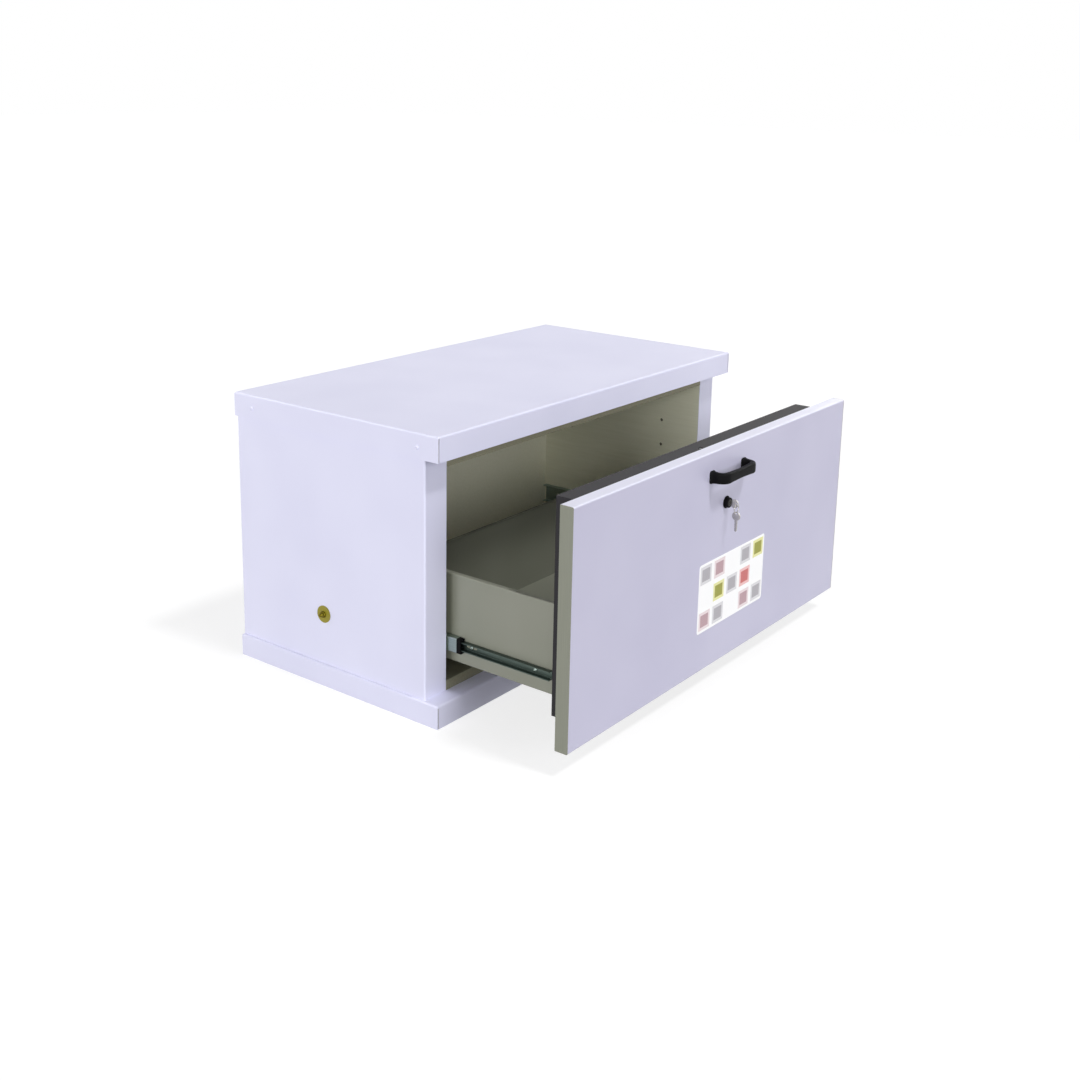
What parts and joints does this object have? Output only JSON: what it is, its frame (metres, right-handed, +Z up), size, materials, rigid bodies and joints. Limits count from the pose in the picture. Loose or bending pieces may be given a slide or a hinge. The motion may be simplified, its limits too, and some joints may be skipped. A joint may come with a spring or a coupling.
{
  "type": "fire-resistant safety cabinet",
  "caption": "Low under-bench fire-resistant safety cabinet with thick insulated walls and a wide lockable pull-out drawer on telescopic ball runners.",
  "frame": {"origin": "centre of the base's underside, on the floor", "axes": "+X across the cabinet to the right as seen from the front, +Y from the front to the back, +Z up"},
  "size_m": [1.1106, 0.9575, 0.6],
  "materials": {
    "white_coat": "powder-coated, fine grain",
    "front_coat": "powder-coated, fine grain",
    "board": "matt mineral board",
    "liner": "satin coated sheet",
    "liner_board": "mineral board with a satin coated face",
    "tray_coat": "satin powder-coated sheet",
    "zinc": "passivated zinc",
    "steel": "plated",
    "black_plastic": "satin moulded",
    "plug_board": "black coated mineral board",
    "rubber": "matt",
    "edge": "satin edge band",
    "yellow": "satin",
    "dark_steel": "dark plated",
    "galvanised": "galvanised sheet",
    "nickel": "nickel plated",
    "brass": "machined"
  },
  "bodies": {
    "carcass": {"top_cover": "white_coat", "top_core": "board", "cover_sheet": "white_coat", "base_cover": "white_coat", "base_core": "board", "base_sheet": "white_coat", "left_side_skin": "white_coat", "right_side_skin": "white_coat", "left_side_core": "board", "right_side_core": "board", "left_liner": "liner", "right_liner": "liner", "back_skin": "white_coat", "back_core": "board", "back_liner": "liner", "ceiling_board": "liner_board", "floor_board": "liner_board", "cover_screws": "white_coat", "earth_disc": "yellow", "earth_stud": "dark_steel", "exhaust_collar": "galvanised", "supply_collar": "galvanised", "strike_plate": "steel", "left_runner_outer": "zinc", "right_runner_outer": "zinc", "runner_wall_screws": "steel"},
    "runner_middles": {"left_runner_middle": "zinc", "right_runner_middle": "zinc", "left_runner_stop": "black_plastic", "right_runner_stop": "black_plastic"},
    "outer_cages": {"outer_ball_cages": "zinc"},
    "inner_cages": {"inner_ball_cages": "zinc"},
    "drawer": {"left_runner_inner": "zinc", "right_runner_inner": "zinc", "runner_tray_screws": "steel", "front_skin": "front_coat", "front_core": "board", "edge_bands": "edge", "front_backing": "white_coat", "fire_plug": "plug_board", "smoke_gasket": "rubber", "drawer_tray": "tray_coat", "tray_back": "tray_coat", "tray_front": "tray_coat", "handle": "black_plastic", "handle_screws": "steel", "lock_housing": "black_plastic", "lock_nut": "steel", "bar_guides": "black_plastic"},
    "lock": {"lock_cylinder": "nickel", "lock_pinion": "brass"},
    "key": {"lock_key": "nickel"},
    "lock_bar": {"lock_bar": "steel"},
    "key_ring": {"key_ring": "nickel"},
    "spare_key": {"spare_key": "nickel"},
    "exhaust_flap": {"exhaust_flap": "galvanised"},
    "supply_flap": {"supply_flap": "galvanised"}
  },
  "joints": [
    {"name": "runner_slide", "type": "slide", "parent": "carcass", "child": "runner_middles", "axis": [0, -1, 0], "range_m": [-0.093, 0.078]},
    {"name": "drawer_slide", "type": "slide", "parent": "runner_middles", "child": "drawer", "axis": [0, -1, 0], "range_m": [-0.229, 0]},
    {"name": "outer_cage_slide", "type": "slide", "parent": "carcass", "child": "outer_cages", "axis": [0, -1, 0], "range_m": [-0.0465, 0.039]},
    {"name": "inner_cage_slide", "type": "slide", "parent": "runner_middles", "child": "inner_cages", "axis": [0, -1, 0], "range_m": [-0.1145, 0]},
    {"name": "lock_turn", "type": "hinge", "parent": "drawer", "child": "lock", "pos_m": [0, -0.604, 0.406], "axis": [0, 1, 0], "range_deg": [0, 90]},
    {"name": "lock_bar_slide", "type": "slide", "parent": "drawer", "child": "lock_bar", "axis": [0, 0, 1], "range_m": [0, 0.0157]},
    {"name": "key_slide", "type": "slide", "parent": "lock", "child": "key", "axis": [0, -1, 0], "range_m": [0, 0.026]},
    {"name": "key_ring_swing", "type": "hinge", "parent": "key", "child": "key_ring", "pos_m": [0, -0.6293, 0.406], "axis": [1, 0, 0], "range_deg": [-60, 18]},
    {"name": "spare_key_swing", "type": "hinge", "parent": "key_ring", "child": "spare_key", "pos_m": [0, -0.6293, 0.386], "axis": [1, 0, 0], "range_deg": [-40, 5]},
    {"name": "exhaust_flap_turn", "type": "hinge", "parent": "carcass", "child": "exhaust_flap", "pos_m": [0.3, 0.2565, 0.409], "axis": [1, 0, 0], "range_deg": [0, 90]},
    {"name": "supply_flap_turn", "type": "hinge", "parent": "carcass", "child": "supply_flap", "pos_m": [-0.3, 0.2565, 0.409], "axis": [1, 0, 0], "range_deg": [0, 90]}
  ],
  "couplings": [
    {"joint": "outer_cage_slide", "follows": "runner_slide", "ratio": 0.5},
    {"joint": "inner_cage_slide", "follows": "drawer_slide", "ratio": 0.5},
    {"joint": "lock_turn", "follows": "lock_bar_slide", "rad_per_m": 100}
  ]
}
